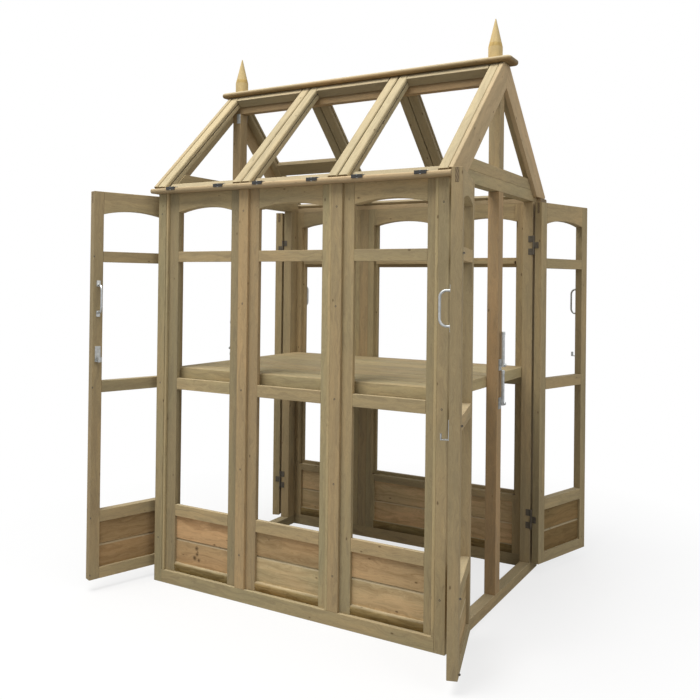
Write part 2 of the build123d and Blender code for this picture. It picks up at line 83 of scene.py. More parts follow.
forward = Vector((-math.sin(turn) * math.cos(tilt), math.cos(turn) * math.cos(tilt), math.sin(tilt)))
level = Vector((math.cos(turn), math.sin(turn), 0.0))
rise = level.cross(forward)
right = level * math.cos(lean) + rise * math.sin(lean)
up = -level * math.sin(lean) + rise * math.cos(lean)
camera.matrix_world = Matrix((
    (right.x, up.x, -forward.x, eye.x),
    (right.y, up.y, -forward.y, eye.y),
    (right.z, up.z, -forward.z, eye.z),
    (0.0, 0.0, 0.0, 1.0),
))
bpy.context.scene.camera = camera
bpy.context.scene.view_settings.view_transform = "Standard"
print("lens", round(camera_data.lens, 2), "mm")

# %% [markdown]
# ## Small helpers for node trees
# Every material below is a graph of nodes. Writing each link by hand hides the idea, so these
# short functions add one node, plug in what they are given and hand back its output.

# %% Node helpers
def plug(tree, value, socket):
    """Links an output to a socket, or sets the socket to a number or a colour."""
    if hasattr(value, "is_linked"):
        tree.links.new(value, socket)
    elif isinstance(value, (int, float)):
        socket.default_value = value
    else:
        socket.default_value = (*value, 1.0) if len(socket.default_value) == 4 else value


def grey(value):
    """A colour whose three parts are the same."""
    return value, value, value


def ramp(tree, stops, source):
    """A run of colours read off by a value."""
    node = tree.nodes.new("ShaderNodeValToRGB")
    band = node.color_ramp
    while len(band.elements) < len(stops):
        band.elements.new(0.5)
    for element, (place, colour) in zip(band.elements, stops):
        element.position = place
        element.color = (*colour, 1.0)
    tree.links.new(source, node.inputs[0])
    return node.outputs[0]


def stretched(tree, coordinates, scale):
    """Coordinates scaled differently along and across the grain."""
    node = tree.nodes.new("ShaderNodeMapping")
    node.inputs["Scale"].default_value = scale
    tree.links.new(coordinates, node.inputs["Vector"])
    return node.outputs[0]


def noise(tree, coordinates, detail, rough, scale=1.0):
    """Cloudy noise between 0 and 1."""
    node = tree.nodes.new("ShaderNodeTexNoise")
    plug(tree, scale, node.inputs["Scale"])
    plug(tree, detail, node.inputs["Detail"])
    plug(tree, rough, node.inputs["Roughness"])
    tree.links.new(coordinates, node.inputs["Vector"])
    return node.outputs[0]


def blended(tree, factor, first, second, kind="MIX"):
    """Two colours mixed or multiplied by a factor. Sockets 6 and 7 are the colour ones."""
    node = tree.nodes.new("ShaderNodeMix")
    node.data_type = "RGBA"
    node.blend_type = kind
    plug(tree, factor, node.inputs[0])
    plug(tree, first, node.inputs[6])
    plug(tree, second, node.inputs[7])
    return node.outputs[2]


def number(tree, kind, first, second):
    """One sum of two numbers."""
    node = tree.nodes.new("ShaderNodeMath")
    node.operation = kind
    plug(tree, first, node.inputs[0])
    plug(tree, second, node.inputs[1])
    return node.outputs[0]


def plus(tree, first, second):
    """Two numbers added."""
    return number(tree, "ADD", first, second)


def times(tree, first, second):
    """Two numbers multiplied."""
    return number(tree, "MULTIPLY", first, second)


def read_attribute(tree, name, output):
    """A value that was written on the mesh under a name."""
    node = tree.nodes.new("ShaderNodeAttribute")
    node.attribute_name = name
    return node.outputs[output]


def rough_relief(tree, shader, height, strength, distance):
    """Tiny hollows and ridges on a surface, in metres."""
    relief = tree.nodes.new("ShaderNodeBump")
    relief.inputs["Strength"].default_value = strength
    relief.inputs["Distance"].default_value = distance
    tree.links.new(height, relief.inputs["Height"])
    tree.links.new(relief.outputs[0], shader.inputs["Normal"])


print("node helpers ready")

# %% [markdown]
# ## Floor
# The house stands on white ground with no horizon. A sheet lit by lamps alone would grow grey
# towards its edges, so what the camera sees of it is mostly its own glow. Close to the house
# a little of it is ordinary matt paint, which keeps a soft shadow under the timbers. With
# distance from the middle that part fades out and pure white is left. The light that the
# floor throws back at the house is that of a plain mid grey.

# %% Lay the floor
REACH = 14.0
FLOOR_BOUNCE = 0.50
FLOOR_MATT = 0.24
FLOOR_GLOW = 0.72
FADE_FROM, FADE_TO = 0.9, 1.9
floor_mesh = bpy.data.meshes.new("studio_floor")
floor_mesh.from_pydata(
    [(-REACH, -REACH, 0), (REACH, -REACH, 0), (REACH, REACH, 0), (-REACH, REACH, 0)], [], [(0, 1, 2, 3)]
)
floor = bpy.data.objects.new("studio_floor", floor_mesh)
bpy.context.scene.collection.objects.link(floor)

floor_paint = bpy.data.materials.new("studio_floor_white")
floor_paint.use_nodes = True
tree = floor_paint.node_tree
tree.nodes.clear()
bounce = tree.nodes.new("ShaderNodeBsdfDiffuse")
bounce.inputs["Color"].default_value = (*grey(FLOOR_BOUNCE), 1.0)
matt = tree.nodes.new("ShaderNodeBsdfDiffuse")
matt.inputs["Color"].default_value = (*grey(FLOOR_MATT), 1.0)
glow = tree.nodes.new("ShaderNodeEmission")
glow.inputs["Strength"].default_value = FLOOR_GLOW
white = tree.nodes.new("ShaderNodeEmission")
white.inputs["Strength"].default_value = 1.0
near = tree.nodes.new("ShaderNodeAddShader")
tree.links.new(matt.outputs[0], near.inputs[0])
tree.links.new(glow.outputs[0], near.inputs[1])
length = tree.nodes.new("ShaderNodeVectorMath")
length.operation = "LENGTH"
tree.links.new(tree.nodes.new("ShaderNodeTexCoord").outputs["Object"], length.inputs[0])
fade = tree.nodes.new("ShaderNodeMapRange")
fade.inputs["From Min"].default_value = FADE_FROM
fade.inputs["From Max"].default_value = FADE_TO
tree.links.new(length.outputs["Value"], fade.inputs["Value"])
seen = tree.nodes.new("ShaderNodeMixShader")
tree.links.new(fade.outputs[0], seen.inputs[0])
tree.links.new(near.outputs[0], seen.inputs[1])
tree.links.new(white.outputs[0], seen.inputs[2])
path = tree.nodes.new("ShaderNodeLightPath")
choose = tree.nodes.new("ShaderNodeMixShader")
tree.links.new(path.outputs["Is Camera Ray"], choose.inputs[0])
tree.links.new(bounce.outputs[0], choose.inputs[1])
tree.links.new(seen.outputs[0], choose.inputs[2])
tree.links.new(choose.outputs[0], tree.nodes.new("ShaderNodeOutputMaterial").inputs[0])
floor_mesh.materials.append(floor_paint)
print("floor", 2 * REACH, "m across")

# %% [markdown]
# ## Sky and lamps
# The object was lit by a bright overcast sky: faces that look up are pale, upright ones are
# darker, and nothing throws a hard shadow. The world is plain white to the camera and
# in reflections, and lights the timber only softly. One wide lamp high up in front does most
# of the work, and a weak one fills the right-hand gable.

# %% Sky
SKY_LIGHT = 0.46
world = bpy.data.worlds.new("soft_sky")
bpy.context.scene.world = world
world.use_nodes = True
tree = world.node_tree
tree.nodes.clear()
seen = tree.nodes.new("ShaderNodeBackground")
seen.inputs["Strength"].default_value = 1.0
seen.inputs["Color"].default_value = (1.0, 1.0, 1.0, 1.0)
lit = tree.nodes.new("ShaderNodeBackground")
lit.inputs["Color"].default_value = (0.98, 0.99, 1.0, 1.0)
lit.inputs["Strength"].default_value = SKY_LIGHT
path = tree.nodes.new("ShaderNodeLightPath")
rays = number(tree, "MAXIMUM", path.outputs["Is Camera Ray"], path.outputs["Is Glossy Ray"])
rays = number(tree, "MAXIMUM", rays, path.outputs["Is Transmission Ray"])
mix = tree.nodes.new("ShaderNodeMixShader")
tree.links.new(rays, mix.inputs[0])
tree.links.new(lit.outputs[0], mix.inputs[1])
tree.links.new(seen.outputs[0], mix.inputs[2])
tree.links.new(mix.outputs[0], tree.nodes.new("ShaderNodeOutputWorld").inputs[0])
print("sky light", SKY_LIGHT)

# %% Lamps
MIDDLE = Vector((0.0, 0.0, 1.0))


def soft_lamp(name, place, size, power):
    """A square lamp that looks at the middle of the house."""
    data = bpy.data.lights.new(name, "AREA")
    data.shape = "SQUARE"
    data.size = size
    data.energy = power
    data.color = (1.0, 0.99, 0.97)
    lamp = bpy.data.objects.new(name, data)
    bpy.context.scene.collection.objects.link(lamp)
    lamp.location = place
    lamp.rotation_euler = (MIDDLE - Vector(place)).to_track_quat("-Z", "Y").to_euler()


soft_lamp("sky_lamp", (-0.8, -2.1, 5.6), 3.0, 280.0)
soft_lamp("gable_lamp", (4.2, -1.2, 3.0), 2.5, 48.0)
print("two lamps")

# %% [markdown]
# ## Timber by timber
# A planed timber shows grain along its length, a tone of its own, and arrises that the
# machine has eased. The solid model has every timber as a separate solid in a shared node.
# So each node is copied, its triangles are joined back into flat faces, its sharp edges get a
# small bevel, and every timber is told apart by walking along its edges. Its longest edge is
# the direction of its grain.

# %% Helpers that measure timbers
LEVEL = 0.001
UPRIGHT = 0.8
SAME_CORNER = 0.00002
FLAT_ANGLE = math.radians(0.5)
SHARP_ANGLE = 0.7


def reindex(work):
    """Numbers the corners and edges of a bmesh afresh."""
    work.verts.index_update()
    work.edges.index_update()


def islands_of(work):
    """The separate timbers of a mesh, in order of their lowest x, then y, then z."""
    unseen = set(work.verts)
    groups = []
    for start in work.verts:
        if start not in unseen:
            continue
        unseen.discard(start)
        stack = [start]
        group = []
        while stack:
            vert = stack.pop()
            group.append(vert)
            for edge in vert.link_edges:
                other = edge.other_vert(vert)
                if other in unseen:
                    unseen.discard(other)
                    stack.append(other)
        groups.append(group)
    groups.sort(key=lambda group: [round(min(vert.co[axis] for vert in group), 2) for axis in range(3)])
    return groups


def longest_of(edges):
    """The longest edge, and of equal ones the first."""
    return max(edges, key=lambda edge: (round(edge.calc_length(), 5), -edge.index))


def timber_axes(group):
    """Directions along, across and through a timber, from its longest edge."""
    longest = longest_of({edge for vert in group for edge in vert.link_edges})
    along = (longest.verts[1].co - longest.verts[0].co).normalized()
    if along.z < -LEVEL or (abs(along.z) <= LEVEL and along.x < 0):
        along.negate()
    pick = Vector((0, 0, 1)) if abs(along.z) < UPRIGHT else Vector((0, 1, 0))
    across = along.cross(pick).normalized()
    return along, across, along.cross(across).normalized()


def rebuilt(node):
    """A bmesh of a node with its triangles joined back into flat faces."""
    work = bmesh.new()
    work.from_mesh(frame["nodes"][node].data)
    bmesh.ops.remove_doubles(work, verts=work.verts, dist=SAME_CORNER)
    bmesh.ops.dissolve_limit(
        work, angle_limit=FLAT_ANGLE, verts=work.verts, edges=work.edges, use_dissolve_boundaries=False
    )
    reindex(work)
    return work


def ease_edges(work, ease):
    """Bevels the sharp edges and returns the new faces."""
    before = set(work.faces)
    sharp = [edge for edge in work.edges
             if len(edge.link_faces) == 2 and edge.calc_face_angle(0.0) > SHARP_ANGLE]
    bmesh.ops.bevel(work, geom=sharp, offset=ease, offset_type="OFFSET", segments=2, profile=0.5,
                    affect="EDGES", clamp_overlap=True)
    return {face for face in work.faces if face not in before}


print("helpers ready")

# %% [markdown]
# ## A tint for every stick
# No two sticks in this house are the same colour. Some are straw with olive in it, some brown,
# some have kept a pink cast. Each timber gets two numbers: its tone, from dark to pale, and its
# warmth, from olive to orange brown. The timbers that are seen best are written out one by
# one, from left to right, front to back and bottom to top. The others are drawn from a range
# of tones and a range of warmths, with a seeded generator.

# %% Tints
dice = random.Random(11)
own_tints = {
    "corner_posts": [(0.58, 0.05), (0.30, 0.40), (0.34, 0.30), (0.30, 0.35)],
    "wall_cover_posts": [(0.62, 0.98), (0.25, 0.60), (0.48, 0.62), (0.25, 0.55)],
    "wall_base_boards": [(0.62, 0.15), (0.40, 0.40)],
    "front_wall_stiles": [
        (0.06, 0.22), (0.06, 0.22), (0.28, 0.95), (0.80, 0.02), (0.46, 0.32), (0.32, 0.25),
    ],
    "front_wall_transoms": [
        (0.92, 0.20), (0.60, 0.50), (0.80, 0.62), (0.52, 0.35), (0.66, 0.45), (0.55, 0.40),
    ],
    "front_wall_low_rails": [
        (0.92, 0.30), (0.84, 0.42), (0.84, 0.28), (0.80, 0.62), (0.80, 0.35), (0.70, 0.55),
    ],
    "front_wall_infill": [
        (0.66, 0.80), (0.74, 0.98), (0.95, 0.18), (0.52, 0.66), (0.88, 0.40), (0.74, 0.75),
    ],
    "front_wall_heads": [(0.78, 0.45), (0.66, 0.35), (0.80, 0.55)],
    "gable_king_posts": [(0.30, 0.30), (0.30, 0.20)],
    "gable_plates": [(0.40, 0.35), (0.46, 0.30)],
    "gable_tie_beams": [(0.40, 0.35), (0.56, 0.22)],
    "gable_centre_posts": [(0.35, 0.85), (0.46, 0.98)],
    "ridge_beam": [(0.62, 0.80)],
    "ridge_cap": [(0.16, 0.60)],
    "ridge_finials": [(0.70, 0.60), (0.74, 0.60)],
}
ranges = {
    "frame_timber": ((0.22, 0.60), (0.12, 0.62)),
    "board_timber": ((0.26, 0.66), (0.30, 0.85)),
    "orange_timber": ((0.30, 0.45), (0.70, 0.95)),
    "galvanised_steel": ((0.4, 0.6), (0.5, 0.5)),
    "dark_clip": ((0.4, 0.6), (0.5, 0.5)),
}
node_ranges = {
    # The edge beads get the palest tones, which paint the highlight along them.
    "wall_edge_beads": ((0.90, 1.00), (0.15, 0.30)),
    "shelf_boards": ((0.18, 0.76), (0.02, 0.30)),
    "shelf_bearers": ((0.30, 0.45), (0.10, 0.35)),
    "right_front_door_stiles": ((0.24, 0.40), (0.45, 0.62)),
    "right_back_door_stiles": ((0.26, 0.40), (0.15, 0.40)),
    "left_front_door_stiles": ((0.22, 0.32), (0.35, 0.55)),
    "right_back_door_infill": ((0.00, 0.10), (0.40, 0.60)),
    "left_front_door_infill": ((0.32, 0.42), (0.80, 0.98)),
    "right_front_door_infill": ((0.55, 0.75), (0.15, 0.40)),
    "back_wall_infill": ((0.96, 1.00), (0.45, 0.75)),
    "front_roof_rails": ((0.00, 0.20), (0.30, 0.60)),
    "back_roof_rails": ((0.00, 0.20), (0.30, 0.60)),
    "right_front_door_rails": ((0.45, 0.65), (0.35, 0.60)),
    # The front roof's battens are seen from above and get paler tones, the back roof's are seen from below
    # and get darker ones: painted light and shade.
    "front_roof_stiles": ((0.50, 0.80), (0.10, 0.40)),
    "back_roof_stiles": ((0.10, 0.35), (0.30, 0.60)),
    "eaves_boards": ((0.42, 0.55), (0.60, 0.80)),
}


def tint_of(node, index):
    """Tone and warmth of one timber of a node."""
    if node in own_tints and index < len(own_tints[node]):
        return own_tints[node][index]
    tone_range, warmth_range = node_ranges.get(node, ranges[slot_of[node]])
    return dice.uniform(*tone_range), dice.uniform(*warmth_range)


print("tints written out for", len(own_tints), "nodes")

# %% [markdown]
# ## Measurements on the mesh
# A material can read back what is written on a mesh under a name. So every corner gets its
# grain coordinates, which are metres along, across and through its own timber, with an offset
# that puts each timber at another place in the pattern. It also gets its timber's tone and
# warmth, and every face gets a number for how much painted highlight it carries.

# %% Measure and place a piece
GRAIN_OFFSETS = (30, 10, 10)


def measured(work, tint_at):
    """Grain and tint of every corner, and each timber with the direction it runs in."""
    grain, tint, timbers = {}, {}, []
    for index, group in enumerate(islands_of(work)):
        along, across, depth = timber_axes(group)
        shift = Vector([dice.uniform(0, most) for most in GRAIN_OFFSETS])
        own = tint_at(index)
        for vert in group:
            grain[vert] = Vector((vert.co.dot(along), vert.co.dot(across), vert.co.dot(depth))) + shift
            tint[vert] = own
        timbers.append((group, along))
    return grain, tint, timbers


def write_attribute(mesh, name, kind, domain, key, values):
    """Adds an attribute and fills it at once."""
    mesh.attributes.new(name, kind, domain).data.foreach_set(key, values)


def grained_mesh(name, work, finishes, grain, tint, painted_highlight):
    """The mesh of a bmesh with its measurements written on it."""
    flat = [part for vert in work.verts for part in grain[vert]]
    tones = [tint[vert][0] for vert in work.verts]
    warmths = [tint[vert][1] for vert in work.verts]
    mesh = bpy.data.meshes.new(name)
    work.to_mesh(mesh)
    work.free()
    write_attribute(mesh, "grain", "FLOAT_VECTOR", "POINT", "vector", flat)
    write_attribute(mesh, "tone", "FLOAT", "POINT", "value", tones)
    write_attribute(mesh, "warmth", "FLOAT", "POINT", "value", warmths)
    write_attribute(mesh, "painted_highlight", "FLOAT", "FACE", "value", painted_highlight)
    mesh.shade_smooth()
    for finish in finishes:
        mesh.materials.append(finish)
    return mesh


def placed(name, mesh, body, node=None):
    """Puts a mesh in the scene so that it rides with a body, and stands for a node if told."""
    piece = bpy.data.objects.new(name, mesh)
    bpy.context.scene.collection.objects.link(piece)
    piece.modifiers.new("flat_faces", "WEIGHTED_NORMAL").keep_sharp = True
    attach(piece, body)
    if node:
        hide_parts(node)


print("a piece can be measured and placed")

# %% [markdown]
# ## Dressing a node
# Eased edges get a painted highlight, and faces that look up get a painted highlight that grows
# the more they look up: that is the number of each face. The ends of a timber get the darker
# end grain as a second material. They are the faces that look along the grain.

# %% Dress
EASE = 0.0014
# The painted highlight: its level on eased edges, its strength on faces that look up, and its most.
EDGE_HIGHLIGHT = 0.55
UPWARD_HIGHLIGHT = 0.9
MOST_HIGHLIGHT = 1.2
ALONG_GRAIN = 0.9
SECOND_FINISH = 1
dressed = []


def finished(work, node, eased, finishes, top_highlight, from_tilt=0.0, highlight_level=EDGE_HIGHLIGHT, second=None):
    """Turns a bmesh into a piece that rides with its node's body and stands for the node."""
    grain, tint, timbers = measured(work, lambda index: tint_of(node, index))
    for group, along in timbers:
        chosen = []
        faces = {face for vert in group for face in vert.link_faces}
        if second:
            chosen = faces if second(group) else []
        elif len(finishes) > 1:
            chosen = [face for face in faces if abs(face.normal.dot(along)) > ALONG_GRAIN]
        for face in chosen:
            face.material_index = SECOND_FINISH
    # Painted highlight: eased edges get a fixed level, and faces that look up get more the more they look
    # up.
    painted_highlight = []
    for face in work.faces:
        looks_up = min(MOST_HIGHLIGHT, max(0.0, face.normal.z - from_tilt) * top_highlight)
        painted_highlight.append(max(highlight_level if face in eased else 0.0, looks_up))
    mesh = grained_mesh(f"{node}_dressed", work, finishes, grain, tint, painted_highlight)
    placed(f"{node}_piece", mesh, body_of[node], node)
    dressed.append(node)


def dress(node, finishes, ease=EASE, top_highlight=UPWARD_HIGHLIGHT, from_tilt=0.0, highlight_level=EDGE_HIGHLIGHT, second=None):
    """Stands an eased, grained copy in for a node."""
    work = rebuilt(node)
    eased = ease_edges(work, ease)
    reindex(work)
    finished(work, node, eased, finishes, top_highlight, from_tilt, highlight_level, second)


print("a node can be dressed")

# %% [markdown]
# ## Knots
# Knots are cut branches: dark ovals, rare, and drawn out along the grain. A cell pattern puts
# one at the middle of each large cell, and noise makes its edge ragged. A few knots of the
# left-hand panel are known by their places, so those are given one by one.

# %% Knots
KNOT_DARK = (0.095, 0.058, 0.028)
KNOT_CELLS = (2.4, 4.5, 4.5)
KNOT_EDGE = (60.0, 120.0, 120.0)
BOARD_KNOTS = (
    ((-0.416, -0.410, 0.145), 0.011), ((-0.414, -0.410, 0.124), 0.009), ((-0.425, -0.410, 0.109), 0.011),
    ((-0.405, -0.410, 0.103), 0.008), ((-0.411, -0.410, 0.133), 0.005),
)


def knots(tree, place):
    """A mask of knots that are strewn through the timber."""
    cells = tree.nodes.new("ShaderNodeTexVoronoi")
    tree.links.new(stretched(tree, place, KNOT_CELLS), cells.inputs["Vector"])
    wobble = noise(tree, stretched(tree, place, KNOT_EDGE), 2.0, 0.6)
    edge = plus(tree, cells.outputs["Distance"], times(tree, wobble, 0.06))
    return ramp(tree, [(0.070, grey(0.70)), (0.09, grey(0.40)), (0.12, grey(0.0))], edge)


def marks_at(tree, spots):
    """A mask of a few knots at places of the house, each with its radius in metres."""
    where = tree.nodes.new("ShaderNodeTexCoord").outputs["Object"]
    ragged = noise(tree, where, 3.0, 0.6, 160.0)
    total = None
    for spot, radius in spots:
        gap = tree.nodes.new("ShaderNodeVectorMath")
        gap.operation = "DISTANCE"
        tree.links.new(where, gap.inputs[0])
        gap.inputs[1].default_value = spot
        size = number(tree, "DIVIDE", gap.outputs["Value"], radius)
        edge = plus(tree, times(tree, size, 0.7), times(tree, ragged, 0.5))
        mask = ramp(tree, [(0.35, grey(0.9)), (1.0, grey(0.0))], edge)
        total = mask if total is None else blended(tree, 1.0, total, mask, "LIGHTEN")
    return total


print("knots set by hand", len(BOARD_KNOTS))

# %% [markdown]
# ## Pressure-treated softwood
# The timber is planed redwood, soaked in a greenish preservative that has dried to straw with
# olive in it. Image textures would tie the file to pictures, so the grain is made of noise in
# each timber's own coordinates. Long noise makes the growth bands and finer noise the lines
# and fibres, all bent a little by a slow one. Pale streaks and dark ones stay weak, because
# from a few metres away planed wood reads as one colour first.

# %% Softwood
# The pale colour that the painted highlight mixes in.
HIGHLIGHT_COLOUR = (0.64, 0.55, 0.37)
SLOW_SCALE = (2.0, 6.0, 6.0)
BAND_SCALE = (1.1, 62.0, 62.0)
LINE_SCALE = (2.5, 240.0, 240.0)
FIBRE_SCALE = (18.0, 1100.0, 1100.0)
PATCH_SCALE = (2.2, 9.0, 9.0)
GRAIN_BEND = (0.0, 0.045, 0.045)


def bent_grain(tree, place):
    """Grain coordinates pushed aside a little by slow noise."""
    slow = tree.nodes.new("ShaderNodeTexNoise")
    slow.inputs["Detail"].default_value = 1.0
    tree.links.new(stretched(tree, place, SLOW_SCALE), slow.inputs["Vector"])
    bend = tree.nodes.new("ShaderNodeVectorMath")
    bend.operation = "MULTIPLY_ADD"
    tree.links.new(slow.outputs["Color"], bend.inputs[0])
    bend.inputs[1].default_value = GRAIN_BEND
    tree.links.new(place, bend.inputs[2])
    return bend.outputs[0]


def softwood(name, cool, warm, spots=(), figure=0.85):
    """Planed softwood whose colour follows each timber's own tone and warmth, with a painted highlight on
    its eased and upper faces.
    """
    material = bpy.data.materials.new(name)
    material.use_nodes = True
    tree = material.node_tree
    shader = tree.nodes["Principled BSDF"]
    place = read_attribute(tree, "grain", "Vector")
    tone = read_attribute(tree, "tone", "Fac")
    warmth = read_attribute(tree, "warmth", "Fac")
    painted_highlight = read_attribute(tree, "painted_highlight", "Fac")

    bent = bent_grain(tree, place)
    bands = noise(tree, stretched(tree, bent, BAND_SCALE), 3.0, 0.5)
    lines = noise(tree, stretched(tree, bent, LINE_SCALE), 2.0, 0.5)
    fibres = noise(tree, stretched(tree, bent, FIBRE_SCALE), 2.0, 0.6)
    patches = noise(tree, stretched(tree, place, PATCH_SCALE), 3.0, 0.55)

    # The timber's own colour, with browner patches in it.
    olive = blended(tree, tone, cool[0], cool[1])
    brown = blended(tree, tone, warm[0], warm[1])
    own = blended(tree, warmth, olive, brown)
    own = blended(tree, ramp(tree, [(0.42, grey(0.0)), (0.70, grey(0.42))], patches), own, brown)

    # Four patterns, from growth bands to clouds, darken and lighten it.
    ring = ramp(tree, [(0.36, (0.70, 0.66, 0.60)), (0.50, grey(1.0)), (0.66, (1.14, 1.12, 1.08))], bands)
    late = ramp(tree, [(0.38, (0.76, 0.72, 0.66)), (0.50, grey(1.0))], lines)
    hair = ramp(tree, [(0.35, (0.86, 0.84, 0.80)), (0.60, grey(1.03))], fibres)
    cloud = ramp(tree, [(0.30, (0.82, 0.84, 0.82)), (0.64, (1.10, 1.07, 1.03))], patches)
    colour = blended(tree, figure, own, ring, "MULTIPLY")
    colour = blended(tree, 0.8 * figure, colour, late, "MULTIPLY")
    colour = blended(tree, 0.80, colour, hair, "MULTIPLY")
    colour = blended(tree, 1.0, colour, cloud, "MULTIPLY")

    # A painted highlight and knots lie over it.
    highlight_level = times(tree, painted_highlight, plus(tree, times(tree, fibres, 0.5), 0.28))
    colour = blended(tree, highlight_level, colour, HIGHLIGHT_COLOUR)
    colour = blended(tree, knots(tree, place), colour, KNOT_DARK)
    if spots:
        colour = blended(tree, marks_at(tree, spots), colour, KNOT_DARK)
    tree.links.new(colour, shader.inputs["Base Color"])
    shader.inputs["IOR"].default_value = 1.45
    shader.inputs["Specular IOR Level"].default_value = 0.10
    tree.links.new(plus(tree, times(tree, fibres, 0.22), 0.56), shader.inputs["Roughness"])
    height = plus(tree, times(tree, bands, 0.7), times(tree, fibres, 0.6))
    rough_relief(tree, shader, plus(tree, height, times(tree, lines, 0.7)), 0.6, 0.0004)
    return material


print("softwood can be made")

# %% [markdown]
# ## Five softwoods
# The same recipe gives five stocks. Each is told by four colours: olive dark and pale, and
# brown dark and pale. The boards are paler and plainer than the sticks, the heartwood is
# redder, the roof battens are greyer and the turned finials are the yellowest.

# %% The five softwoods
straw = softwood(
    "treated_straw",
    cool=((0.180, 0.145, 0.063), (0.360, 0.298, 0.145)),
    warm=((0.220, 0.130, 0.048), (0.460, 0.288, 0.118)),
)
cream = softwood(
    "board_cream",
    cool=((0.180, 0.142, 0.064), (0.550, 0.465, 0.275)),
    warm=((0.225, 0.136, 0.056), (0.680, 0.445, 0.245)),
    spots=BOARD_KNOTS,
    figure=0.55,
)
amber = softwood(
    "heart_amber",
    cool=((0.200, 0.145, 0.062), (0.360, 0.260, 0.120)),
    warm=((0.200, 0.104, 0.030), (0.385, 0.200, 0.064)),
)
batten = softwood(
    "roof_batten_straw",
    cool=((0.190, 0.155, 0.080), (0.430, 0.365, 0.215)),
    warm=((0.210, 0.140, 0.062), (0.480, 0.360, 0.190)),
)
honey = softwood(
    "finial_honey",
    cool=((0.340, 0.260, 0.105), (0.520, 0.410, 0.175)),
    warm=((0.360, 0.240, 0.085), (0.600, 0.420, 0.160)),
    figure=0.5,
)
print("five softwoods")

# %% [markdown]
# ## End grain
# Sawn ends drink more preservative than the planed sides, so they are darker, and they show
# the growth rings cut across. The rings are a wave in the two directions across the timber,
# whose centre is far off, so they run in long arcs as in a board cut away from the heart.

# %% End grain
RINGS_A_METRE = 55.0
RING_WOBBLE = 1.6
PORES_A_METRE = 700.0


def cut_end(name, dark, pale):
    """The sawn end of a softwood timber."""
    material = bpy.data.materials.new(name)
    material.use_nodes = True
    tree = material.node_tree
    shader = tree.nodes["Principled BSDF"]
    place = read_attribute(tree, "grain", "Vector")
    rings = tree.nodes.new("ShaderNodeTexWave")
    rings.wave_type = "RINGS"
    rings.rings_direction = "X"
    rings.inputs["Scale"].default_value = RINGS_A_METRE
    rings.inputs["Distortion"].default_value = RING_WOBBLE
    tree.links.new(place, rings.inputs["Vector"])
    pores = noise(tree, place, 3.0, 0.6, PORES_A_METRE)
    colour = ramp(tree, [(0.2, dark), (0.8, pale)], rings.outputs["Fac"])
    holes = ramp(tree, [(0.3, (0.72, 0.70, 0.66)), (0.65, grey(1.1))], pores)
    colour = blended(tree, 0.8, colour, holes, "MULTIPLY")
    tree.links.new(colour, shader.inputs["Base Color"])
    tree.links.new(plus(tree, times(tree, pores, 0.2), 0.66), shader.inputs["Roughness"])
    rough_relief(tree, shader, pores, 0.5, 0.0003)
    return material


sawn = cut_end("sawn_end_grain", (0.135, 0.092, 0.046), (0.255, 0.190, 0.105))
print("one end grain")

# %% [markdown]
# ## Zinc, dull zinc and black
# The handles, catches and drop bars are zinc-plated steel: pale grey, slightly cloudy, with a
# soft shine. The hinges and screws are the same steel gone dull and brown in the weather. The
# angles at the gables' tops are paler than the rest, and the clips on the roof are black. A
# cloud of noise drives both colour and roughness, so a smear of plating isn't evenly shiny.

# %% Metals
CLOUDS_A_METRE = 90.0
SPECKS_A_METRE = 900.0


def plated(name, colour, metallic, low, high, cloudiness):
    """Plated or painted steel with a cloudy shine."""
    material = bpy.data.materials.new(name)
    material.use_nodes = True
    tree = material.node_tree
    shader = tree.nodes["Principled BSDF"]
    place = tree.nodes.new("ShaderNodeTexCoord").outputs["Object"]
    cloud = noise(tree, place, 4.0, 0.6, CLOUDS_A_METRE)
    speck = noise(tree, place, 2.0, 0.5, SPECKS_A_METRE)
    darker = tuple(part * (1.0 - cloudiness) for part in colour)
    tree.links.new(ramp(tree, [(0.35, darker), (0.65, colour)], cloud), shader.inputs["Base Color"])
    shader.inputs["Metallic"].default_value = metallic
    rough = tree.nodes.new("ShaderNodeMapRange")
    rough.inputs["To Min"].default_value = low
    rough.inputs["To Max"].default_value = high
    tree.links.new(cloud, rough.inputs["Value"])
    tree.links.new(rough.outputs[0], shader.inputs["Roughness"])
    rough_relief(tree, shader, speck, 0.25, 0.0001)
    return material


zinc = plated("zinc_plate", (0.60, 0.62, 0.62), 1.0, 0.28, 0.46, 0.25)
dull_zinc = plated("dull_zinc", (0.150, 0.128, 0.095), 0.6, 0.50, 0.70, 0.40)
black = plated("black_clip", (0.030, 0.029, 0.028), 0.0, 0.35, 0.55, 0.3)
bright_zinc = plated("bright_zinc", (0.60, 0.65, 0.67), 0.2, 0.35, 0.50, 0.20)
print("four metals")

# %% [markdown]
# ## Walls
# Posts, stiles and transoms are plain planed sticks, so their nodes are dressed as they are.

# %% Dress the walls
wood = (straw, sawn)
# Their eased edges and upper faces get the usual painted highlight.
for node in ("corner_posts", "wall_cover_posts", "wall_base_boards", "wall_edge_beads"):
    dress(node, wood)
for side in ("front", "back"):
    for kind in ("stiles", "heads", "transoms"):
        dress(f"{side}_wall_{kind}", wood)
print("walls", len(dressed))

# %% [markdown]
# ## Moulded low rails
# The lowest rail of each wall bay is moulded: a rounded nose along its top throws the water
# off and catches the light, and below it the rail steps back and lies in shade. Its upper faces
# also get a painted highlight. Bevels can't make a step, so the plain rail is taken out of the
# copy and drawn again as a section that is stretched along the bay. The dado rails in the same
# node keep their shape.

# %% Low rails
NOSE_R = 0.0075
NOSE_STEPS = 6
STEP_BACK = 0.0035
NOSE_FOOT = 0.47
LOWEST_RAIL_FOOT = 0.1
ALONG_X = Vector((1, 0, 0))
ALONG_Y = Vector((0, 1, 0))


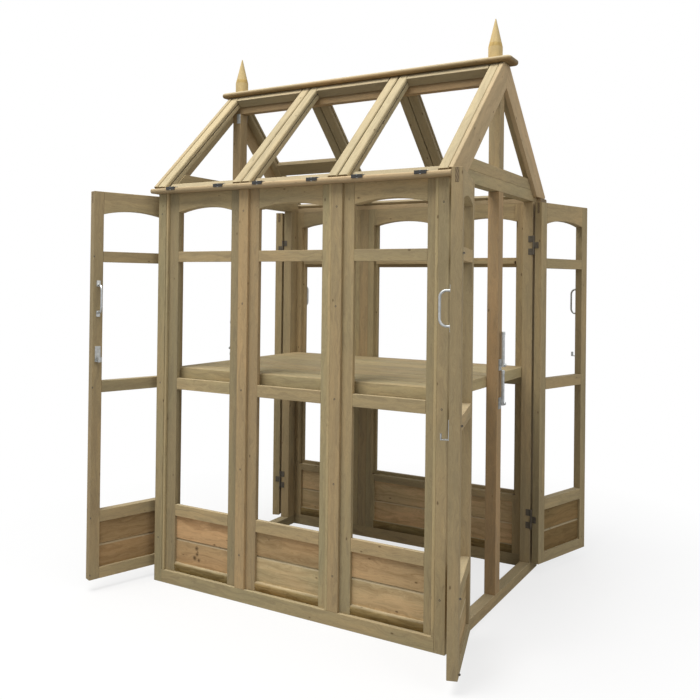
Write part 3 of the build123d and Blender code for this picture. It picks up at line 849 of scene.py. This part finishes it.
def stretch_section(work, outline, along, across, low, high):
    """A closed section in across and up, drawn out along a direction from low to high."""
    ends = [[
        work.verts.new(along * run + across * depth + Vector((0, 0, height))) for depth, height in outline
    ] for run in (low, high)]
    made = [work.faces.new(ends[0]), work.faces.new(list(reversed(ends[1])))]
    for index in range(len(outline)):
        after = (index + 1) % len(outline)
        made.append(work.faces.new((ends[0][index], ends[1][index], ends[1][after], ends[0][after])))
    bmesh.ops.recalc_face_normals(work, faces=made)


def rail_section(inner, outer, low, high, facing):
    """Corners of the moulded rail: a stepped foot, and a nose rounded in a few steps."""
    step = low + (high - low) * NOSE_FOOT
    back = outer - facing * STEP_BACK
    points = [(inner, low), (back, low), (back, step), (outer, step)]
    for index in range(NOSE_STEPS + 1):
        angle = math.radians(90 / NOSE_STEPS * index)
        depth = outer - facing * NOSE_R * (1 - math.cos(angle))
        points.append((depth, high - NOSE_R * (1 - math.sin(angle))))
    points.append((inner, high))
    return points


def moulded_low_rails(node, facing):
    """Dresses a wall's low rails, with a moulded section for the lowest ones."""
    work = rebuilt(node)
    rails = []
    for group in islands_of(work):
        low = [min(vert.co[axis] for vert in group) for axis in range(3)]
        high = [max(vert.co[axis] for vert in group) for axis in range(3)]
        if low[2] < LOWEST_RAIL_FOOT:
            rails.append((low, high))
            bmesh.ops.delete(work, geom=group, context="VERTS")
    eased = ease_edges(work, EASE)
    for low, high in rails:
        inner, outer = (high[1], low[1]) if facing < 0 else (low[1], high[1])
        outline = rail_section(inner, outer, low[2], high[2], facing)
        stretch_section(work, outline, ALONG_X, ALONG_Y, low[0], high[0])
    reindex(work)
    # The eased edges and the upper faces, the nose's among them, get a painted highlight.
    finished(work, node, eased, wood, top_highlight=1.1)


moulded_low_rails("front_wall_low_rails", -1)
moulded_low_rails("back_wall_low_rails", 1)
print("low rails", len(dressed))

# %% [markdown]
# ## Boarded panels
# Under the dado rail each bay is closed by two boards with a tongue and a groove between them.
# The solid model has one plate with a shallow groove. Here two real boards are made in its
# place: the upper one has a narrow chamfer at its foot, the lower one a wide chamfer that
# looks up, so the joint reads as a dark line with a pale one under it. Both chamfers also get a
# painted highlight, and so do the boards' upper faces. The outline is drawn once in the panel's
# own directions and stretched from end to end, which also suits a door that is ajar.

# %% Boards
CHAMFER = 0.0050
FOOT_CHAMFER = 0.0018
JOINT = 0.0030
LEVEL_EDGE = 0.1
CHAMFER_TILT = (0.3, 0.95)


def board_outline(low, high, half, lower):
    """Corners of one board's section, depth by height, going round once from its foot."""
    if lower:
        return [
            (-half, low), (half, low),
            (half, high - CHAMFER), (half - CHAMFER, high), (half - CHAMFER, high + JOINT),
            (-half + CHAMFER, high + JOINT), (-half + CHAMFER, high), (-half, high - CHAMFER),
        ]
    return [
        (-half, low + FOOT_CHAMFER), (-half + FOOT_CHAMFER, low),
        (half - FOOT_CHAMFER, low), (half, low + FOOT_CHAMFER),
        (half, high), (-half, high),
    ]


def boarded(node, outward):
    """Two boards in place of each plate of a node, with their joint at half its height."""
    source = rebuilt(node)
    work = bmesh.new()
    for group in islands_of(source):
        edges = {edge for vert in group for edge in vert.link_edges}
        longest = longest_of([
            edge for edge in edges
            if abs((edge.verts[1].co - edge.verts[0].co).normalized().z) < LEVEL_EDGE
        ])
        along = (longest.verts[1].co - longest.verts[0].co).normalized()
        through = Vector((-along.y, along.x, 0.0))
        if through.dot(outward) < 0:
            through.negate()
        runs = [vert.co.dot(along) for vert in group]
        depths = [vert.co.dot(through) for vert in group]
        heights = [vert.co.z for vert in group]
        middle = (min(depths) + max(depths)) / 2
        half = (max(depths) - min(depths)) / 2
        joint = (min(heights) + max(heights)) / 2
        for low, high, lower in (
            (min(heights), joint - JOINT / 2, True),
            (joint + JOINT / 2, max(heights), False),
        ):
            outline = [(middle + depth, height) for depth, height in board_outline(low, high, half, lower)]
            stretch_section(work, outline, along, through, min(runs), max(runs))
    source.free()
    reindex(work)
    # The chamfers get the painted highlight of eased edges.
    eased = {face for face in work.faces if CHAMFER_TILT[0] < abs(face.normal.z) < CHAMFER_TILT[1]}
    finished(work, node, eased, (cream, sawn), top_highlight=1.3)


print("boards can be made")

# %% Board the panels
boarded("front_wall_infill", Vector((0, -1, 0)))
boarded("back_wall_infill", Vector((0, 1, 0)))
for place in DOORS:
    boarded(f"{place}_door_infill", Vector((1 if "right" in place else -1, 0, 0)))
print("boarded", len(dressed))

# %% [markdown]
# ## Gables, roof and shelf
# The gables' middle posts and the ridge beam are of a redder stock. The roof frames get a strong
# painted highlight: their upper faces are nearly white. The shelf is under cover, greyer, and gets
# less painted highlight, as the roof shades it. Most of these nodes differ only in how strong the
# painted highlight on their upper faces is. The ridge cap is a dark board whose edges get a
# strong painted highlight too, though they lean a little downwards, and whose eased arrises get none.

# %% Dress gables, roof and shelf
# The shelf's painted highlight is weaker, as it lies in the roof's shade.
SHELF_HIGHLIGHT = 0.25
# The number given to each node sets how strong the painted highlight on its upper faces is.
for node in ("gable_sills", "gable_jambs", "gable_tie_beams", "gable_plates"):
    dress(node, wood)
for node in ("gable_centre_posts", "gable_king_posts", "ridge_beam"):
    dress(node, (amber, sawn), top_highlight=0.4)
for side in ("front", "back"):
    dress(f"{side}_roof_stiles", (batten, sawn), top_highlight=1.25)
    dress(f"{side}_roof_rails", (batten, sawn), top_highlight=1.3)
    dress(f"{side}_barge_boards", (cream, sawn), top_highlight=1.2)
dress("eaves_boards", (cream, sawn), top_highlight=1.0)
# The ridge cap's painted highlight is strong, reaches faces that lean a little downwards, and leaves its
# eased arrises out.
dress("ridge_cap", (cream, sawn), top_highlight=2.0, from_tilt=-0.12, highlight_level=0.0)
dress("ridge_finials", (honey,), ease=0.0008, top_highlight=0.3)
dress("shelf_boards", (straw,), top_highlight=SHELF_HIGHLIGHT)
dress("shelf_bearers", wood, top_highlight=SHELF_HIGHLIGHT)
dress("shelf_ledgers", wood, top_highlight=SHELF_HIGHLIGHT)
print("gables, roof and shelf", len(dressed))

# %% [markdown]
# ## Shelf edging and a vent rail
# Two things on the real house have no solid of their own. A narrow edging closes the shelf's
# rim all round, over the gap between slats and ledgers, so no light shows under the slats.
# And one rail crosses the back roof's left light, low on the slope, where the real house may
# have the foot of a roof vent. Both are drawn as sections and stretched to length.

# %% Edging and vent rail
EDGING_T = 0.0034
RIM_X, RIM_Y = 0.5641, 0.3841
RIM_LOW, RIM_HIGH = 0.7672, 0.8046
SLOPE = math.radians(46)
APEX_Z = 1.923
VENT_NEAR, VENT_FAR = 0.346, 0.404
VENT_UNDER, VENT_OVER = -0.020, 0.006
VENT_LEFT, VENT_RIGHT = -0.5719, -0.2441
THIN_EASE = 0.0009
EXTRA_TOP_HIGHLIGHT = 0.8


def extra_piece(name, work, tint):
    """A timber of the house that no node stands for, riding with the frame."""
    eased = ease_edges(work, THIN_EASE)
    reindex(work)
    grain, tints, _ = measured(work, lambda index: tint)
    # Eased edges and faces that look up get a painted highlight.
    painted_highlight = [EDGE_HIGHLIGHT if face in eased else max(0.0, face.normal.z) * EXTRA_TOP_HIGHLIGHT for face in work.faces]
    placed(name, grained_mesh(name, work, (straw,), grain, tints, painted_highlight), "root")


rim = bmesh.new()
for side in (-1, 1):
    for rim_at, half_run, along, across in (
        (RIM_Y, RIM_X, ALONG_X, ALONG_Y),
        (RIM_X, RIM_Y, ALONG_Y, ALONG_X),
    ):
        near, far = side * rim_at, side * (rim_at + EDGING_T)
        outline = [(near, RIM_LOW), (far, RIM_LOW), (far, RIM_HIGH), (near, RIM_HIGH)]
        stretch_section(rim, outline, along, across, -half_run, half_run)
extra_piece("shelf_edging", rim, (1.0, 0.12))

vent = bmesh.new()
outline = []
for down_slope, off_slope in (
    (VENT_NEAR, VENT_UNDER), (VENT_FAR, VENT_UNDER), (VENT_FAR, VENT_OVER), (VENT_NEAR, VENT_OVER),
):
    across = down_slope * math.cos(SLOPE) + off_slope * math.sin(SLOPE)
    height = APEX_Z - down_slope * math.sin(SLOPE) + off_slope * math.cos(SLOPE)
    outline.append((across, height))
stretch_section(vent, outline, ALONG_X, ALONG_Y, VENT_LEFT, VENT_RIGHT)
extra_piece("vent_rail", vent, (0.05, 0.35))
print("edging and vent rail made")

# %% [markdown]
# ## Doors and fittings
# The doors are dressed in the same way, painted highlight included, and ride on their own bodies,
# so they open with their grain, screws and handles. Steel edges are only just broken, by a third
# of a millimetre, and steel gets no painted highlight. A door's hinge knuckles are in one node
# with its handle and catch, and get the dull zinc as their second finish.

# %% Dress doors and fittings
HINGE_REACH = 0.375
STEEL_EASE = 0.0003


def is_knuckle(group):
    """Whether a fitting of a door lies at its hinges rather than at its free edge."""
    return max(abs(vert.co.y) for vert in group) < HINGE_REACH


def dress_steel(node, finishes, second=None):
    """Dresses a metal fitting."""
    dress(node, finishes, ease=STEEL_EASE, top_highlight=0.0, second=second)


for place in DOORS:
    dress(f"{place}_door_stiles", wood)
    dress(f"{place}_door_rails", wood)
    dress_steel(f"{place}_door_hardware", (zinc, dull_zinc), is_knuckle)
for place in ("right_upper", "right_lower", "left_upper", "left_lower"):
    dress_steel(f"{place}_drop_bar", (zinc,))
dress_steel("latch_brackets", (zinc,))
dress_steel("gable_apex_angles", (bright_zinc,))
dress_steel("frame_hinges", (dull_zinc,))
dress_steel("glazing_clips", (black,))
missing = [node for node in slot_of if node not in dressed]
print("dressed", len(dressed), "of", len(slot_of), "missing", missing)

# %% [markdown]
# ## Screws
# Small countersunk screws hold the cover posts to the stiles, the rails to the door stiles and
# the clips to the eaves. A screw head is a shallow dish with a cross cut in it. One head is
# drawn as rings of sixteen sides, the last of them pressed in and drawn out to four points
# for the cross, and copied to every place with its face turned to the outside.

# %% Screw heads
HEAD_R = 0.0036
CLIP_HEAD_R = 0.003
HEAD_SIDES = 16
HEAD_PROUD = 0.0003
RIM_DROP = 0.0008
CROSS_DEPTH = 0.6
CROSS_TIP, CROSS_WAIST = 0.42, 0.15
DISH = ((1.0, -RIM_DROP), (1.0, 0.0), (0.86, HEAD_PROUD), (0.5, HEAD_PROUD * 0.6))


def ring_point(work, centre, side, other, reach, step):
    """A new corner on a ring round a centre."""
    angle = 2 * math.pi * step / HEAD_SIDES
    return work.verts.new(centre + side * reach * math.cos(angle) + other * reach * math.sin(angle))


def screw_head(work, place, outward, radius):
    """Adds one screw head whose face looks outward."""
    outward = outward.normalized()
    side = outward.orthogonal().normalized()
    other = outward.cross(side)
    rings = [
        [ring_point(work, place + outward * height, side, other, radius * share, step)
         for step in range(HEAD_SIDES)]
        for share, height in DISH
    ]
    for inner, outer in zip(rings[1:], rings[:-1]):
        for step in range(HEAD_SIDES):
            after = (step + 1) % HEAD_SIDES
            work.faces.new((outer[step], outer[after], inner[after], inner[step]))
    sunk = place - outward * RIM_DROP * CROSS_DEPTH
    cross = [
        ring_point(work, sunk, side, other, radius * (CROSS_TIP if step % 4 == 0 else CROSS_WAIST), step)
        for step in range(HEAD_SIDES)
    ]
    for step in range(HEAD_SIDES):
        after = (step + 1) % HEAD_SIDES
        work.faces.new((rings[-1][step], rings[-1][after], cross[after], cross[step]))
    work.faces.new(cross)
    work.faces.new(list(reversed(rings[0])))


def screws(name, body, places, finish):
    """A piece of screw heads at a list of places and directions."""
    work = bmesh.new()
    for place, outward, radius in places:
        screw_head(work, Vector(place), Vector(outward), radius)
    bmesh.ops.recalc_face_normals(work, faces=work.faces)
    mesh = bpy.data.meshes.new(name)
    work.to_mesh(mesh)
    work.free()
    mesh.materials.append(finish)
    piece = bpy.data.objects.new(name, mesh)
    bpy.context.scene.collection.objects.link(piece)
    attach(piece, body)
    return len(places)


print("a screw head has", HEAD_SIDES * len(DISH), "sides in its dish and cross")

# %% Screws in the frame
WALL_FACE = 0.430
COVER_POST_X, CORNER_POST_X = 0.198, 0.5915
GABLE_FACE, GABLE_POST_Y = 0.610, 0.409
frame_screws = []
for side in (-1, 1):
    for post in (-COVER_POST_X, COVER_POST_X):
        for height in (0.165, 0.468, 0.748, 1.055, 1.385):
            frame_screws.append(((post, side * WALL_FACE, height), (0, side, 0), HEAD_R))
    for post in (-CORNER_POST_X, CORNER_POST_X):
        for height in (0.165, 0.748, 1.385):
            frame_screws.append(((post, side * WALL_FACE, height), (0, side, 0), HEAD_R))
for end in (-1, 1):
    for across in (-GABLE_POST_Y, GABLE_POST_Y):
        for height in (0.120, 0.700, 1.300):
            frame_screws.append(((end * GABLE_FACE, across, height), (end, 0, 0), HEAD_R))
print("frame screws", screws("frame_screws", "root", frame_screws, dull_zinc))

# %% Screws in the clips
clip_screws = []
clips = bmesh.new()
clips.from_mesh(frame["nodes"]["glazing_clips"].data)
for group in islands_of(clips):
    low = Vector([min(vert.co[axis] for vert in group) for axis in range(3)])
    high = Vector([max(vert.co[axis] for vert in group) for axis in range(3)])
    clip_screws.append((((low.x + high.x) / 2, (low.y + high.y) / 2, high.z), (0, 0, 1), CLIP_HEAD_R))
clips.free()
print("clip screws", screws("clip_screws", "root", clip_screws, zinc))

# %% [markdown]
# ## Screws in the doors
# A door stands ajar, so its screws can't be placed by plain x and y. Its width is the direction
# of its longest level edge, turned away from the hinge. The screws go into the free edge, half
# way through the door, one at the height of each rail.

# %% Screws in the doors
HINGE_X, HINGE_Y = 0.6145, 0.3385
RAIL_LENGTH = 0.2
LEVEL_GAP = 0.0001
DOOR_SCREW_Z = (0.063, 0.270, 0.743, 1.2185)


def door_width(place):
    """The direction of a door's width, either way round."""
    rails = bmesh.new()
    rails.from_mesh(frame["nodes"][f"{place}_door_rails"].data)
    level_edges = [edge for edge in rails.edges if edge.calc_length() > RAIL_LENGTH
                   and abs(edge.verts[0].co.z - edge.verts[1].co.z) < LEVEL_GAP]
    longest = max(level_edges, key=lambda edge: edge.calc_length())
    width = longest.verts[1].co - longest.verts[0].co
    width.z = 0.0
    width.normalize()
    rails.free()
    return width


for place in DOORS:
    hinge = Vector((
        HINGE_X if "right" in place else -HINGE_X, -HINGE_Y if "front" in place else HINGE_Y, 0.0
    ))
    stiles = frame["nodes"][f"{place}_door_stiles"].data
    flat = [Vector((vert.co.x, vert.co.y, 0.0)) for vert in stiles.vertices]
    farthest = max(flat, key=lambda point: (point - hinge).length)
    width = door_width(place)
    if width.dot(farthest - hinge) < 0:
        width.negate()
    through = Vector((-width.y, width.x, 0.0))
    edge_run = max(point.dot(width) for point in flat)
    middle = (min(point.dot(through) for point in flat) + max(point.dot(through) for point in flat)) / 2
    places = [
        (width * edge_run + through * middle + Vector((0, 0, height)), width, HEAD_R)
        for height in DOOR_SCREW_Z
    ]
    print(place, "screws", screws(f"{place}_door_screws", f"{place}_door", places, dull_zinc))
